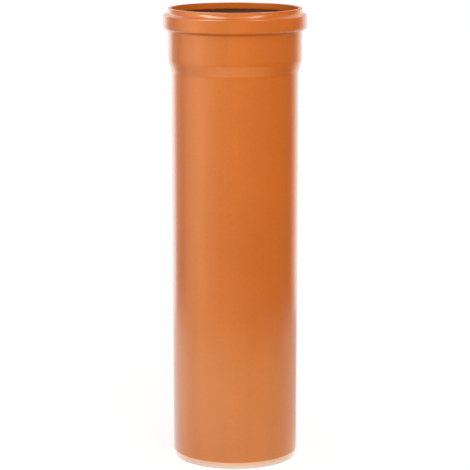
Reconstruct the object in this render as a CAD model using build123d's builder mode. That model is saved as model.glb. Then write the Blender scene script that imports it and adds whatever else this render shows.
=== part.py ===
from build123d import *
from math import radians, tan
import os

# A 500 mm length of orange-brown PVC-U drain pipe, 160 mm across, with a push-fit socket
# formed on one end and its rubber sealing ring in place. Millimetres. The pipe stands on
# its spigot end: its axis is Z and the cut end of the spigot lies on the plane Z = 0.

# Barrel and spigot
pipe_outer_diameter = 160.0
pipe_wall = 4.0
laying_length = 500.0  # spigot end to the foot of the socket
spigot_chamfer_length = 8.5
spigot_edge_wall = 2.0  # wall left at the chamfered end

# Socket, formed from the same wall as the barrel
socket_length = 81.0  # foot of the shoulder to the mouth
socket_clearance = 0.5  # gap all round a spigot pushed in
shoulder_length = 15.9
shoulder_bend_radius = 10.0
rim_edge_radius = 0.6

# Bead round the socket, with the groove for the ring on its inside
mouth_lip_length = 5.9  # straight lip between the mouth and the bead
bead_height = 6.1
bead_length = 22.7  # along the socket, from crease to crease
bead_mouth_slope = 24.0  # fall of the side next to the mouth, in degrees
bead_mouth_crease_radius = 5.0
bead_mouth_corner_radius = 1.5
bead_foot_slope = 28.0
bead_foot_crease_radius = 0.8
bead_foot_corner_radius = 3.8
groove_corner_radius = 0.6
groove_mouth_edge_radius = 3.0  # where the bore turns out into the groove

# Sealing ring, with its lip lying back as it does round a spigot
ring_clearance = 0.25  # between the ring and the groove
ring_lip_clearance = 0.2  # between the lip and a spigot pushed in
ring_lip_length = 13.2
ring_lip_tip_thickness = 1.6
ring_lip_root_thickness = 2.5
ring_nose_drop = 0.9  # how far the nose lies back behind the bore
ring_pocket_depth = 6.8  # open behind the lip
ring_pocket_width = 1.2
ring_edge_radius = 0.5
ring_rib_count = 3
ring_rib_height = 0.5

barrel_radius = pipe_outer_diameter / 2
socket_bore_radius = barrel_radius + socket_clearance
socket_radius = socket_bore_radius + pipe_wall
bead_radius = socket_radius + bead_height
pipe_length = laying_length + socket_length


def beside(corners, distance):
    """Corners of the line that runs at a distance to the right of a chain of corners."""
    points = [Vector(*corner) for corner in corners]
    runs = [(end - start).normalized() for start, end in zip(points, points[1:])]
    rights = [Vector(run.Y, -run.X) for run in runs]
    mitres = [rights[0]]
    for before, after in zip(rights, rights[1:]):
        both = before + after
        mitres.append(both * (2 / both.dot(both)))
    mitres.append(rights[-1])
    return [point + mitre * distance for point, mitre in zip(points, mitres)]


def height_on(start, end, radius):
    """Height at which the line through two corners of a section reaches a radius."""
    return start.Y + (end.Y - start.Y) * (radius - start.X) / (end.X - start.X)


# Outside of the pipe as (radius, height) corners, from the mouth down to the spigot
bead_mouth_crease = pipe_length - mouth_lip_length
bead_foot_crease = bead_mouth_crease - bead_length
socket_outside = [
    (socket_radius, pipe_length),
    (socket_radius, bead_mouth_crease),
    (bead_radius, bead_mouth_crease - bead_height * tan(radians(bead_mouth_slope))),
    (bead_radius, bead_foot_crease + bead_height * tan(radians(bead_foot_slope))),
    (socket_radius, bead_foot_crease),
    (socket_radius, laying_length + shoulder_length),
    (barrel_radius, laying_length),
]
spigot_outside = [
    (barrel_radius, spigot_chamfer_length),
    (barrel_radius - pipe_wall + spigot_edge_wall, 0),
]
outside_radii = [
    rim_edge_radius,
    bead_mouth_crease_radius,
    bead_mouth_corner_radius,
    bead_foot_corner_radius,
    bead_foot_crease_radius,
    shoulder_bend_radius + pipe_wall,
    shoulder_bend_radius,
    0,
    0,
]

# The wall is even, so the bore runs beside the outside. The groove's corners are sharper, as
# the plug that forms it leaves them
bore = beside(socket_outside + [(barrel_radius, 0)], pipe_wall)
bore_radii = [
    rim_edge_radius,
    groove_mouth_edge_radius,
    groove_corner_radius,
    groove_corner_radius,
    bead_foot_crease_radius + pipe_wall,
    shoulder_bend_radius,
    shoulder_bend_radius + pipe_wall,
    0,
]

with BuildPart() as pipe:
    with BuildSketch(Plane.XZ):
        with BuildLine():
            FilletPolyline(
                *socket_outside,
                *spigot_outside,
                *reversed(bore),
                radius=outside_radii + bore_radii[::-1],
                close=True,
            )
        make_face()
    revolve(axis=Axis.Z)

pipe.part.label = "pipe"

# Sealing ring: its heel fills the groove, and the lip hangs from the nose into the socket
groove = bore[1:5]
nose_start, heel_top, heel_foot, toe_end = beside(groove, ring_clearance)
heel_radius = heel_top.X - ring_rib_height
nose_radius = socket_bore_radius + ring_nose_drop
lip_face_radius = barrel_radius + ring_lip_clearance
lip_root_radius = lip_face_radius + ring_lip_root_thickness
toe_radius = lip_root_radius + ring_pocket_width
nose_height = height_on(nose_start, heel_top, nose_radius)
lip_top_height = nose_height - ring_nose_drop
lip_tip_height = lip_top_height - ring_lip_length
pocket_top_height = lip_tip_height + ring_pocket_depth
heel_top_height = height_on(nose_start, heel_top, heel_radius)
heel_foot_height = height_on(heel_foot, toe_end, heel_radius)
rib_spacing = (heel_top_height - heel_foot_height) / (ring_rib_count + 1)
ring_section = [
    (nose_radius, nose_height),
    (heel_radius, heel_top_height),
    (heel_radius, heel_foot_height),
    (toe_radius, height_on(heel_foot, toe_end, toe_radius)),
    (toe_radius, pocket_top_height),
    (lip_root_radius, pocket_top_height),
    (lip_face_radius + ring_lip_tip_thickness, lip_tip_height),
    (lip_face_radius, lip_tip_height),
    (lip_face_radius, lip_top_height),
]
ring_radii = [ring_edge_radius, 0, 0, ring_edge_radius, 0, 0] + [ring_edge_radius] * 3

with BuildPart() as sealing_ring:
    with BuildSketch(Plane.XZ):
        with BuildLine():
            FilletPolyline(*ring_section, radius=ring_radii, close=True)
        make_face()
        with Locations((heel_radius, (heel_top_height + heel_foot_height) / 2)):
            with GridLocations(0, rib_spacing, 1, ring_rib_count):
                RegularPolygon(ring_rib_height, side_count=4)
    revolve(axis=Axis.Z)

sealing_ring.part.label = "sealing_ring"

os.makedirs("parts", exist_ok=True)
export_step(pipe.part, "parts/pipe.step")
export_step(sealing_ring.part, "parts/sealing_ring.step")
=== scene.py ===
import math
import bmesh
import bpy
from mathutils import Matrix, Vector


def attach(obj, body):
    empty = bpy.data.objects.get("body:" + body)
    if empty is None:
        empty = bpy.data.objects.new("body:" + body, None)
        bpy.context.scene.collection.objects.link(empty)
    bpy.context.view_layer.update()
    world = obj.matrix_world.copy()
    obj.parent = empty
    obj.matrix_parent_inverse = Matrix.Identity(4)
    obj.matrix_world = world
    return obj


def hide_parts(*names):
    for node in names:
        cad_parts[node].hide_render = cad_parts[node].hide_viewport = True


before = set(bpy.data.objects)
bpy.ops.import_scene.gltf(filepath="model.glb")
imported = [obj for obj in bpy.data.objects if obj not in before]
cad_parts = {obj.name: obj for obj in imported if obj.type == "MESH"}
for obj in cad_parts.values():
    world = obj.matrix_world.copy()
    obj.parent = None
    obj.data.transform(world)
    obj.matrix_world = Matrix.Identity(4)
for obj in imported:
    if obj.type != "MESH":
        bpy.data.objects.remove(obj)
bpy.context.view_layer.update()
print("frame loaded:", ", ".join(sorted(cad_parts)))

mm = 0.001


# Node helpers

def newMaterial(name):
    material = bpy.data.materials.new(name)
    material.use_nodes = True
    nodes = material.node_tree.nodes
    nodes.clear()
    output = nodes.new("ShaderNodeOutputMaterial")
    return material, output


def addNode(tree, kind, **settings):
    node = tree.nodes.new(kind)
    for key, value in settings.items():
        setattr(node, key, value)
    return node


def calc(tree, operation, first, second=None, third=None):
    node = addNode(tree, "ShaderNodeMath", operation=operation)
    for socket, value in zip(node.inputs, (first, second, third)):
        if value is None:
            continue
        if isinstance(value, (int, float)):
            socket.default_value = value
        else:
            tree.links.new(value, socket)
    return node.outputs[0]


def ramp(tree, value, fromLow, fromHigh, toLow=0.0, toHigh=1.0):
    node = addNode(tree, "ShaderNodeMapRange", interpolation_type="SMOOTHSTEP")
    tree.links.new(value, node.inputs["Value"])
    node.inputs["From Min"].default_value = fromLow
    node.inputs["From Max"].default_value = fromHigh
    node.inputs["To Min"].default_value = toLow
    node.inputs["To Max"].default_value = toHigh
    return node.outputs["Result"]


def noise(tree, position, stretch, detail=3.0):
    mapping = addNode(tree, "ShaderNodeMapping")
    tree.links.new(position, mapping.inputs["Vector"])
    mapping.inputs["Scale"].default_value = stretch
    texture = addNode(tree, "ShaderNodeTexNoise")
    texture.inputs["Scale"].default_value = 1.0
    texture.inputs["Detail"].default_value = detail
    texture.inputs["Roughness"].default_value = 0.5
    tree.links.new(mapping.outputs[0], texture.inputs["Vector"])
    return texture.outputs[0]


def mixColors(tree, factor, first, second, blend="MIX"):
    node = addNode(tree, "ShaderNodeMix", data_type="RGBA", blend_type=blend)
    for socket, value in ((node.inputs[0], factor), (node.inputs[6], first), (node.inputs[7], second)):
        if isinstance(value, (int, float, tuple)):
            socket.default_value = value
        else:
            tree.links.new(value, socket)
    return node.outputs[2]


# The pipe: orange-brown PVC, drawn smooth along its length

pvc = {
    "colour": (0.62, 0.137, 0.012, 1.0),
    # darkest and lightest tint that each kind of unevenness gives it
    "cloudTints": ((0.96, 0.96, 0.96, 1.0), (1.03, 1.03, 1.03, 1.0)),
    "streakTints": ((0.975, 0.97, 0.96, 1.0), (1.02, 1.025, 1.03, 1.0)),
    "speckTints": ((0.965, 0.96, 0.94, 1.0), (1.03, 1.035, 1.05, 1.0)),
    "ior": 1.53,
    "glossTint": (1.0, 1.0, 0.62, 1.0),  # warm where it is looked at squarely, white at the edges
    "roughness": (0.22, 0.27),
    "dieLineDepth": 0.006 * mm,
    "dieLineStrength": 0.07,
    # the chamfer, where the plastic has been turned off at the spigot
    "chamferTop": 8.5 * mm,
    "chamferInside": 77.3 * mm,  # radius between it and the bore
    # the turned plastic's own paler tone, with painted bounce light from the white paper on top, paler
    # still towards the foot
    "cutToneAndPaperBounce": (0.99, 0.53, 0.33, 1.0),
    "cutFootToneAndPaperBounce": (0.99, 0.77, 0.65, 1.0),
    "cutRoughness": 0.3,
    "turningDepth": 0.03 * mm,
}


def pvcMaterial():
    material, output = newMaterial("orangeBrownPvc")
    tree = material.node_tree
    place = addNode(tree, "ShaderNodeTexCoord").outputs["Object"]
    parts = addNode(tree, "ShaderNodeSeparateXYZ")
    tree.links.new(place, parts.inputs[0])
    height = parts.outputs["Z"]
    across = calc(tree, "POWER", parts.outputs["X"], 2.0)
    across = calc(tree, "ADD", across, calc(tree, "POWER", parts.outputs["Y"], 2.0))
    radius = calc(tree, "SQRT", across)

    dieLines = noise(tree, place, (900.0, 900.0, 1.5), detail=2.0)
    broadStreaks = noise(tree, place, (38.0, 38.0, 1.2), detail=2.0)
    clouds = noise(tree, place, (14.0, 14.0, 9.0), detail=3.0)
    specks = noise(tree, place, (520.0, 520.0, 400.0), detail=2.0)
    turning = noise(tree, place, (3.0, 3.0, 5200.0), detail=2.0)

    # the chamfer, and nothing of the bore behind it
    blur = 0.15 * mm
    chamfer = ramp(tree, height, pvc["chamferTop"] + blur, pvc["chamferTop"] - blur)
    outside = ramp(tree, radius, pvc["chamferInside"] - 2 * blur, pvc["chamferInside"] + 2 * blur)
    cut = calc(tree, "MULTIPLY", chamfer, outside)

    body = pvc["colour"]
    unevenness = (clouds, "cloudTints"), (broadStreaks, "streakTints"), (specks, "speckTints")
    for pattern, tints in unevenness:
        tint = mixColors(tree, ramp(tree, pattern, 0.3, 0.7), *pvc[tints])
        body = mixColors(tree, 1.0, body, tint, blend="MULTIPLY")
    # painted bounce light: the chamfer grows paler towards the paper below it, on top of the turned
    # plastic's own paler tone
    fromTop = ramp(tree, height, pvc["chamferTop"], 0.0)
    pale = mixColors(tree, fromTop, pvc["cutToneAndPaperBounce"], pvc["cutFootToneAndPaperBounce"])
    colour = mixColors(tree, cut, body, pale)

    shine = ramp(tree, dieLines, 0.2, 0.8, *pvc["roughness"])
    roughness = addNode(tree, "ShaderNodeMix", data_type="FLOAT")
    tree.links.new(cut, roughness.inputs[0])
    tree.links.new(shine, roughness.inputs[2])
    roughness.inputs[3].default_value = pvc["cutRoughness"]

    lines = addNode(tree, "ShaderNodeBump")
    lines.inputs["Strength"].default_value = pvc["dieLineStrength"]
    lines.inputs["Distance"].default_value = pvc["dieLineDepth"]
    tree.links.new(dieLines, lines.inputs["Height"])
    turned = addNode(tree, "ShaderNodeBump")
    turned.inputs["Distance"].default_value = pvc["turningDepth"]
    tree.links.new(cut, turned.inputs["Strength"])
    tree.links.new(turning, turned.inputs["Height"])
    tree.links.new(lines.outputs[0], turned.inputs["Normal"])

    shader = addNode(tree, "ShaderNodeBsdfPrincipled")
    shader.inputs["IOR"].default_value = pvc["ior"]
    shader.inputs["Specular Tint"].default_value = pvc["glossTint"]
    tree.links.new(colour, shader.inputs["Base Color"])
    tree.links.new(roughness.outputs[0], shader.inputs["Roughness"])
    tree.links.new(turned.outputs[0], shader.inputs["Normal"])
    tree.links.new(shader.outputs[0], output.inputs["Surface"])
    return material


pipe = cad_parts["pipe"]
pipe.data.materials.clear()
pipe.data.materials.append(pvcMaterial())
print("pipe finished")


# The sealing ring: black rubber, its lip leaning free into the socket

ring = {
    "steps": 160,  # of the turned ring
    "arcSteps": 5,  # of each rounded corner
    "corners": [  # radius, height and rounding of each corner, in mm
        (81.4, 571.4, 0.5),
        (86.35, 569.4, 0.4),
        (86.35, 558.4, 0.4),
        (84.0, 557.1, 0.5),
        (83.9, 564.2, 0.5),
        (82.4, 564.5, 0.6),
        (79.3, 558.3, 0.5),
        (77.7, 558.8, 0.5),
        (80.0, 567.2, 5.0),
        (80.3, 570.6, 0.6),
    ],
    # dark rubber, with an orange-brown tint that is a painted reflection of the orange bore round it
    "colour": (0.058, 0.021, 0.006, 1.0),
    "roughness": (0.6, 0.82),
    "grainStrength": 0.25,
    "grainDepth": 0.05 * mm,
    "sheen": 0.3,
    "sheenTint": (1.0, 0.8, 0.6, 1.0),
}


def roundedLoop(corners, arcSteps):
    points = []
    count = len(corners)
    for index, (radius, height, rounding) in enumerate(corners):
        here = Vector((radius, height))
        before = (Vector(corners[index - 1][:2]) - here).normalized()
        after = (Vector(corners[(index + 1) % count][:2]) - here).normalized()
        half = before.angle(after) / 2
        middle = here + (before + after).normalized() * (rounding / math.sin(half))
        start = here + before * (rounding / math.tan(half)) - middle
        turn = start.angle_signed(here + after * (rounding / math.tan(half)) - middle)
        for step in range(arcSteps + 1):
            angle = -turn * step / arcSteps
            spoke = Vector((start.x * math.cos(angle) - start.y * math.sin(angle),
                            start.x * math.sin(angle) + start.y * math.cos(angle)))
            points.append((middle + spoke) * mm)
    return points


def turnedPiece(name, loop, steps):
    mesh = bmesh.new()
    corners = [mesh.verts.new((point.x, 0, point.y)) for point in loop]
    edges = [mesh.edges.new((corners[i - 1], corners[i])) for i in range(len(corners))]
    bmesh.ops.spin(mesh, geom=corners + edges, cent=(0, 0, 0), axis=(0, 0, 1),
                   angle=math.tau, steps=steps, use_merge=True)
    bmesh.ops.remove_doubles(mesh, verts=mesh.verts, dist=0.001 * mm)
    bmesh.ops.recalc_face_normals(mesh, faces=mesh.faces)
    for face in mesh.faces:
        face.smooth = True
    data = bpy.data.meshes.new(name)
    mesh.to_mesh(data)
    mesh.free()
    piece = bpy.data.objects.new(name, data)
    bpy.context.scene.collection.objects.link(piece)
    return piece


def rubberMaterial():
    material, output = newMaterial("blackRubber")
    tree = material.node_tree
    place = addNode(tree, "ShaderNodeTexCoord").outputs["Object"]
    grain = noise(tree, place, (900.0, 900.0, 900.0), detail=3.0)
    smears = noise(tree, place, (60.0, 60.0, 160.0), detail=2.0)
    bump = addNode(tree, "ShaderNodeBump")
    bump.inputs["Strength"].default_value = ring["grainStrength"]
    bump.inputs["Distance"].default_value = ring["grainDepth"]
    tree.links.new(grain, bump.inputs["Height"])
    shader = addNode(tree, "ShaderNodeBsdfPrincipled")
    # this colour holds a painted reflection of the orange bore as well as the rubber's own dark tone
    shader.inputs["Base Color"].default_value = ring["colour"]
    shader.inputs["Specular IOR Level"].default_value = ring["sheen"]
    shader.inputs["Specular Tint"].default_value = ring["sheenTint"]
    tree.links.new(ramp(tree, smears, 0.3, 0.7, *ring["roughness"]), shader.inputs["Roughness"])
    tree.links.new(bump.outputs[0], shader.inputs["Normal"])
    tree.links.new(shader.outputs[0], output.inputs["Surface"])
    return material


lipRing = turnedPiece("lip_ring", roundedLoop(ring["corners"], ring["arcSteps"]), ring["steps"])
lipRing.data.materials.append(rubberMaterial())
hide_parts("sealing_ring")
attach(lipRing, "root")
print("sealing ring turned:", len(lipRing.data.polygons), "faces")


# The studio: white paper on the floor of a pale room, two tall softboxes and a small soft lamp

studio = {
    "paperRadius": 0.88,  # of the round sheet of paper, in metres
    "paperSteps": 128,
    "paperColour": (0.38, 0.38, 0.38, 1.0),
    "paperLift": 0.765,  # added for camera rays, so that the paper reads white
    "boreLift": 0.25,  # share of it on the paper inside the bore, which ends between these radii
    "boreEdge": (76.5 * mm, 77.5 * mm),
    # the pool of light on the paper, added for mirror rays, at the left and the right of the pipe
    "poolLift": (2.7, 1.6),
    "poolSides": (-0.4, 0.4),  # where those two are reached, in metres
    # share of it from behind the pipe (-1) round to the front (1)
    "poolAround": [(-1.0, 0.45), (-0.8, 0.56), (-0.6, 0.7), (-0.25, 1.0),
                   (0.1, 1.1), (0.5, 1.45), (1.0, 1.5)],
    "poolCentre": 0.06,  # the point that counts as its middle, in metres in front of the pipe's axis
    "poolEdge": (0.68, 0.9),  # where it fades out in front of the pipe, in metres from the axis
    "poolUnfaded": (0.1, -0.3),  # from the sides of the pipe to its back it doesn't fade
    # share of it where the paper is seen from above, by the distance from the pipe's axis
    "poolFromAbove": [(0.077, 0.0), (0.081, 1.1), (0.11, 0.15), (0.5, 0.15), (0.64, 1.1)],
    "fromAbove": (0.65, 0.45),  # how flatly the paper is seen where that starts, and where it is full
    "roomLight": 1.12,
    "frontLight": 0.6,  # added towards the front
    "frontAzimuth": 0,
    "lowLight": 0.5,  # share of the room's light that comes from below, and from high up
    "highLight": 0.2,
    "lowEdge": (-0.35, 0.0),  # where those set in, as the height of the light's direction
    "highEdge": (0.35, 0.8),
    # what gloss mirrors of the room: azimuth, from the left (-) to the right, and brightness
    "mirrored": [(-180, 1.0), (-166, 1.5), (-150, 2.5), (-130, 0.9), (-112, 0.75), (-90, 2.05),
                 (-66, 3.0), (-45, 1.9), (-24, 1.12), (0, 0.7), (20, 0.4), (38, 0.0),
                 (120, 0.05), (131, 0.7), (142, 1.6), (156, 1.8), (170, 1.2), (180, 1.0)],
    "leastBlue": 0.14,  # the darkest parts of it stay this blue
}


def paperSheet():
    steps = studio["paperSteps"]
    edge = []
    for step in range(steps):
        turn = math.tau * step / steps
        edge.append((studio["paperRadius"] * math.cos(turn), studio["paperRadius"] * math.sin(turn), 0))
    data = bpy.data.meshes.new("paper")
    data.from_pydata(edge, [], [range(steps)])
    sheet = bpy.data.objects.new("paper", data)
    bpy.context.scene.collection.objects.link(sheet)
    return sheet


def raySorts(tree):
    rays = addNode(tree, "ShaderNodeLightPath").outputs
    mirrored = calc(tree, "MAXIMUM", rays["Is Glossy Ray"], rays["Is Transmission Ray"])
    return mirrored, rays["Is Camera Ray"]


def paperMaterial():
    material, output = newMaterial("whitePaper")
    tree = material.node_tree
    place = addNode(tree, "ShaderNodeTexCoord").outputs["Object"]
    fibres = addNode(tree, "ShaderNodeBump")
    fibres.inputs["Strength"].default_value = 0.1
    fibres.inputs["Distance"].default_value = 0.1 * mm
    tree.links.new(noise(tree, place, (700.0, 700.0, 700.0)), fibres.inputs["Height"])
    paper = addNode(tree, "ShaderNodeBsdfDiffuse")
    paper.inputs["Color"].default_value = studio["paperColour"]
    tree.links.new(fibres.outputs[0], paper.inputs["Normal"])
    mirrored, fromCamera = raySorts(tree)
    white = addNode(tree, "ShaderNodeEmission")
    reach = addNode(tree, "ShaderNodeVectorMath", operation="LENGTH")
    tree.links.new(place, reach.inputs[0])
    lifted = ramp(tree, reach.outputs["Value"], *studio["boreEdge"], studio["boreLift"], 1.0)
    lifted = calc(tree, "MULTIPLY", lifted, studio["paperLift"])
    tree.links.new(calc(tree, "MULTIPLY", fromCamera, lifted), white.inputs["Strength"])

    # the pool of light that the pipe's foot mirrors
    parts = addNode(tree, "ShaderNodeSeparateXYZ")
    tree.links.new(place, parts.inputs[0])
    fromFront = addNode(tree, "ShaderNodeVectorMath", operation="ADD")
    tree.links.new(place, fromFront.inputs[0])
    fromFront.inputs[1].default_value = (0, studio["poolCentre"], 0)
    around = addNode(tree, "ShaderNodeVectorMath", operation="NORMALIZE")
    tree.links.new(fromFront.outputs[0], around.inputs[0])
    fore = towards(tree, around.outputs[0], studio["frontAzimuth"])
    pool = ramp(tree, reach.outputs["Value"], *studio["poolEdge"], 1.0, 0.0)
    pool = calc(tree, "MAXIMUM", pool, ramp(tree, fore, *studio["poolUnfaded"]))
    lift = ramp(tree, parts.outputs["X"], *studio["poolSides"], *studio["poolLift"])
    pool = calc(tree, "MULTIPLY", pool, lift)
    pool = calc(tree, "MULTIPLY", pool, curve(tree, fore, studio["poolAround"]))
    grazing = addNode(tree, "ShaderNodeLayerWeight").outputs["Facing"]
    fromAbove = ramp(tree, grazing, *studio["fromAbove"])
    change = calc(tree, "SUBTRACT", curve(tree, reach.outputs["Value"], studio["poolFromAbove"]), 1.0)
    pool = calc(tree, "MULTIPLY", pool, calc(tree, "MULTIPLY_ADD", change, fromAbove, 1.0))
    glow = addNode(tree, "ShaderNodeEmission")
    tree.links.new(calc(tree, "MULTIPLY", pool, mirrored), glow.inputs["Strength"])

    lit = addNode(tree, "ShaderNodeAddShader")
    tree.links.new(paper.outputs[0], lit.inputs[0])
    tree.links.new(white.outputs[0], lit.inputs[1])
    both = addNode(tree, "ShaderNodeAddShader")
    tree.links.new(lit.outputs[0], both.inputs[0])
    tree.links.new(glow.outputs[0], both.inputs[1])
    tree.links.new(both.outputs[0], output.inputs["Surface"])
    return material


def stopsRamp(tree, share, levels):
    node = addNode(tree, "ShaderNodeValToRGB")
    tree.links.new(share, node.inputs[0])
    stops = node.color_ramp
    stops.interpolation = "EASE"
    for index, (position, colour) in enumerate(levels):
        stop = stops.elements[index] if index < 2 else stops.elements.new(position)
        stop.position = position
        stop.color = list(colour) + [1.0]
    return node.outputs[0]


def curve(tree, value, points):
    node = addNode(tree, "ShaderNodeFloatCurve")
    tree.links.new(value, node.inputs["Value"])
    line = node.mapping.curves[0]
    node.mapping.use_clip = False
    node.mapping.extend = "HORIZONTAL"
    for index, spot in enumerate(points):  # two points are there from the start
        if index < 2:
            line.points[index].location = spot
        else:
            line.points.new(*spot)
    for point in line.points:
        point.handle_type = "VECTOR"
    node.mapping.update()
    return node.outputs[0]


def towards(tree, direction, azimuth):
    node = addNode(tree, "ShaderNodeVectorMath", operation="DOT_PRODUCT")
    tree.links.new(direction, node.inputs[0])
    around = math.radians(azimuth)
    node.inputs[1].default_value = (math.sin(around), -math.cos(around), 0)
    return node.outputs["Value"]


def mirroredRoom(tree, parts):
    forward = calc(tree, "MULTIPLY", parts.outputs["Y"], -1.0)
    around = calc(tree, "ARCTAN2", parts.outputs["X"], forward)
    share = calc(tree, "MULTIPLY_ADD", around, 1 / math.tau, 0.5)
    brightest = max(value for _, value in studio["mirrored"])
    levels = []
    for azimuth, value in studio["mirrored"]:
        level = (value, value, max(value, studio["leastBlue"]))
        levels.append((azimuth / 360 + 0.5, [part / brightest for part in level]))
    return stopsRamp(tree, share, levels), brightest


def roomWorld():
    world = bpy.data.worlds.new("room")
    bpy.context.scene.world = world
    world.use_nodes = True
    tree = world.node_tree
    tree.nodes.clear()
    output = addNode(tree, "ShaderNodeOutputWorld")
    direction = addNode(tree, "ShaderNodeTexCoord").outputs["Generated"]
    parts = addNode(tree, "ShaderNodeSeparateXYZ")
    tree.links.new(direction, parts.inputs[0])
    up = parts.outputs["Z"]
    mirrored, fromCamera = raySorts(tree)

    # what lights the pipe comes from all round the horizon, with more from the front
    soft = calc(tree, "MAXIMUM", towards(tree, direction, studio["frontAzimuth"]), 0.0)
    soft = calc(tree, "MULTIPLY_ADD", soft, studio["frontLight"], studio["roomLight"])
    soft = calc(tree, "MULTIPLY", soft, ramp(tree, up, *studio["lowEdge"], studio["lowLight"], 1.0))
    soft = calc(tree, "MULTIPLY", soft, ramp(tree, up, *studio["highEdge"], 1.0, studio["highLight"]))
    light = addNode(tree, "ShaderNodeBackground")
    light.inputs["Color"].default_value = (1, 1, 1, 1)
    tree.links.new(soft, light.inputs["Strength"])

    # what gloss mirrors, and the white that the camera sees
    room = addNode(tree, "ShaderNodeBackground")
    colour, brightest = mirroredRoom(tree, parts)
    tree.links.new(colour, room.inputs["Color"])
    room.inputs["Strength"].default_value = brightest
    white = addNode(tree, "ShaderNodeBackground")
    white.inputs["Color"].default_value = (1, 1, 1, 1)
    lit = addNode(tree, "ShaderNodeMixShader")
    tree.links.new(mirrored, lit.inputs[0])
    tree.links.new(light.outputs[0], lit.inputs[1])
    tree.links.new(room.outputs[0], lit.inputs[2])
    seen = addNode(tree, "ShaderNodeMixShader")
    tree.links.new(fromCamera, seen.inputs[0])
    tree.links.new(lit.outputs[0], seen.inputs[1])
    tree.links.new(white.outputs[0], seen.inputs[2])
    tree.links.new(seen.outputs[0], output.inputs["Surface"])
    # so that every ray that gloss sends out sees the mirrored room
    world.cycles.sampling_method = "NONE"


lampDistance = 1.5
softboxColour = (0.65, 0.68, 1.0)  # the tint of the gloss takes the blue out again
lamps = {  # a mirrored lamp only makes highlights, and the other one only lights
    "leftSoftbox": {
        "azimuth": -52, "elevation": 47, "aimHeight": 0.36, "size": (0.28, 1.6), "spread": 180,
        "watts": 39.0, "colour": softboxColour, "mirrored": True,
    },
    "rightSoftbox": {
        "azimuth": 43, "elevation": 47, "aimHeight": 0.36, "size": (0.28, 1.6), "spread": 180,
        "watts": 21.8, "colour": softboxColour, "mirrored": True,
    },
    "fill": {
        "azimuth": 12, "elevation": 50, "aimHeight": 0.5, "size": (0.8, 0.8), "spread": 70,
        "watts": 1.0, "colour": (1.0, 1.0, 1.0), "mirrored": False,
    },
}


def addLamp(name, lamp):
    light = bpy.data.lights.new(name, "AREA")
    light.shape = "RECTANGLE"
    light.size, light.size_y = lamp["size"]
    light.energy = lamp["watts"]
    light.spread = math.radians(lamp["spread"])
    light.color = lamp["colour"]
    holder = bpy.data.objects.new(name, light)
    bpy.context.scene.collection.objects.link(holder)
    around, up = math.radians(lamp["azimuth"]), math.radians(lamp["elevation"])
    away = Vector((math.sin(around) * math.cos(up), -math.cos(around) * math.cos(up), math.sin(up)))
    holder.location = Vector((0, 0, lamp["aimHeight"])) + away * lampDistance
    holder.rotation_euler = away.to_track_quat("Z", "Y").to_euler()
    holder.visible_camera = False
    holder.visible_diffuse = not lamp["mirrored"]
    holder.visible_glossy = lamp["mirrored"]


paper = paperSheet()
paper.data.materials.append(paperMaterial())
roomWorld()
for name, lamp in lamps.items():
    addLamp(name, lamp)
print("studio set")


# The camera: a long lens a little above the mouth

view = {
    "distance": 2.677,
    "height": 0.796,
    "aimHeight": 0.2891,
    "focal": 162.23,  # in mm
}

cameraData = bpy.data.cameras.new("camera")
cameraData.lens = view["focal"]
camera = bpy.data.objects.new("camera", cameraData)
bpy.context.scene.collection.objects.link(camera)
camera.location = (0, -view["distance"], view["height"])
aim = Vector((0, 0, view["aimHeight"])) - camera.location
camera.rotation_euler = aim.to_track_quat("-Z", "Y").to_euler()
bpy.context.scene.camera = camera
bpy.context.scene.view_settings.view_transform = "Standard"
print("camera set")
